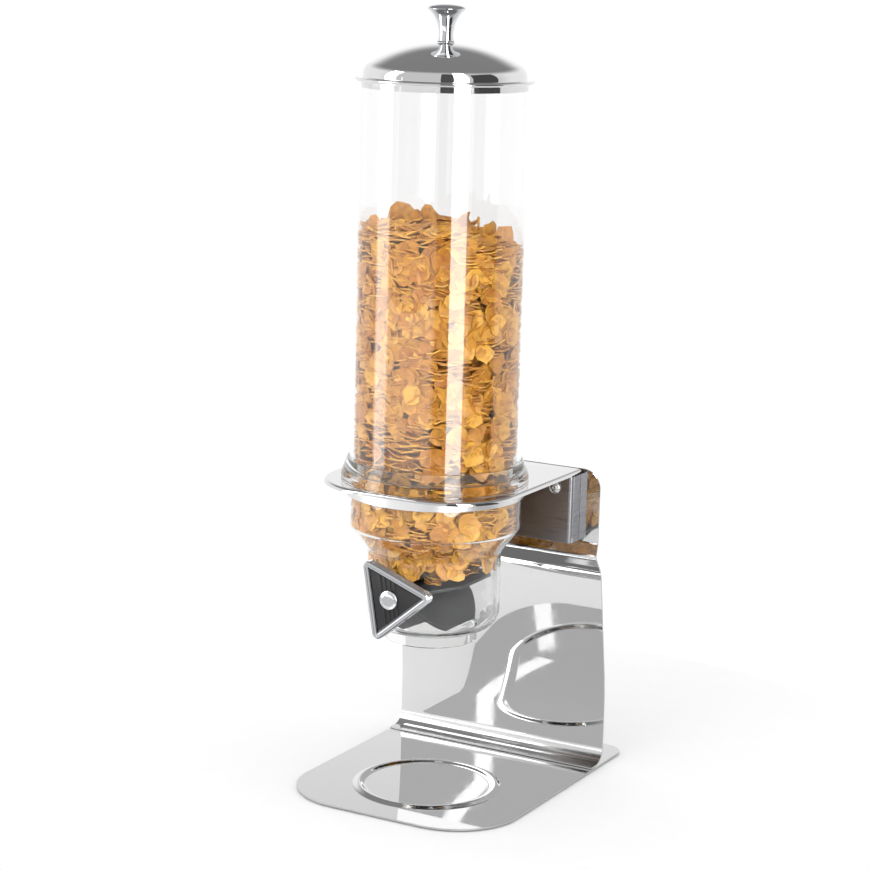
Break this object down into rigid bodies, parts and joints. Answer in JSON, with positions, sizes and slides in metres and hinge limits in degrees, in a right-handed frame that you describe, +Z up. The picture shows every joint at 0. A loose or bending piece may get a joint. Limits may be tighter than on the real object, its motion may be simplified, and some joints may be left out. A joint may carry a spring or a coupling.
{
  "type": "cereal dispenser",
  "caption": "Countertop cereal dispenser: a clear tube and hopper hung in a bent steel stand, with a paddle wheel turned by a triangular knob.",
  "frame": {"origin": "on the floor, under the middle of the base", "axes": "+Z up; the knob and the round end of the base face -Y; +X is to the right of someone who faces the knob"},
  "size_m": [0.2, 0.264, 0.6465],
  "materials": {
    "polished_steel": "mirror-polished stainless steel sheet",
    "chromed_zinc": "bright chrome plate on a zinc casting",
    "fastener_steel": "plain turned stainless steel",
    "clear_plastic": "glass-clear moulded and extruded copolyester",
    "black_silicone": "matt moulded silicone",
    "black_nylon": "fine satin moulding",
    "foot_rubber": "matt die-cut rubber"
  },
  "bodies": {
    "stand": {"base_plate": "polished_steel", "foot_pad_front_left": "foot_rubber", "foot_pad_front_right": "foot_rubber", "foot_pad_rear_left": "foot_rubber", "foot_pad_rear_right": "foot_rubber", "back_plate": "polished_steel", "shelf_plate": "polished_steel", "bracket_channel": "polished_steel", "bracket_screw_left": "fastener_steel", "bracket_screw_right": "fastener_steel", "bracket_spacer_left": "fastener_steel", "bracket_spacer_right": "fastener_steel", "bracket_washer_left": "fastener_steel", "bracket_washer_right": "fastener_steel", "bracket_nut_left": "fastener_steel", "bracket_nut_right": "fastener_steel"},
    "hopper": {"hopper": "clear_plastic", "front_bush": "black_nylon", "rear_bush": "black_nylon"},
    "tube": {"tube": "clear_plastic"},
    "lid": {"lid_dome": "polished_steel", "lid_knob": "chromed_zinc", "lid_screw": "fastener_steel", "lid_washer": "fastener_steel"},
    "wheel": {"drive_shaft": "fastener_steel", "shaft_clip": "fastener_steel", "wheel_hub": "black_silicone", "vane_1": "black_silicone", "vane_2": "black_silicone", "vane_3": "black_silicone", "vane_4": "black_silicone", "vane_5": "black_silicone", "vane_6": "black_silicone", "knob_frame": "chromed_zinc", "knob_inlay": "black_nylon", "knob_stud": "chromed_zinc", "knob_set_screw": "fastener_steel"}
  },
  "joints": [
    {"name": "hopper_lift", "type": "slide", "parent": "stand", "child": "hopper", "axis": [0, 0, 1], "range_m": [0, 0.04]},
    {"name": "tube_lift", "type": "slide", "parent": "hopper", "child": "tube", "axis": [0, 0, 1], "range_m": [0, 0.015]},
    {"name": "lid_lift", "type": "slide", "parent": "tube", "child": "lid", "axis": [0, 0, 1], "range_m": [0, 0.08]},
    {"name": "wheel_turn", "type": "hinge", "parent": "hopper", "child": "wheel", "pos_m": [0, -0.045, 0.1782], "axis": [0, 1, 0], "continuous": true}
  ]
}
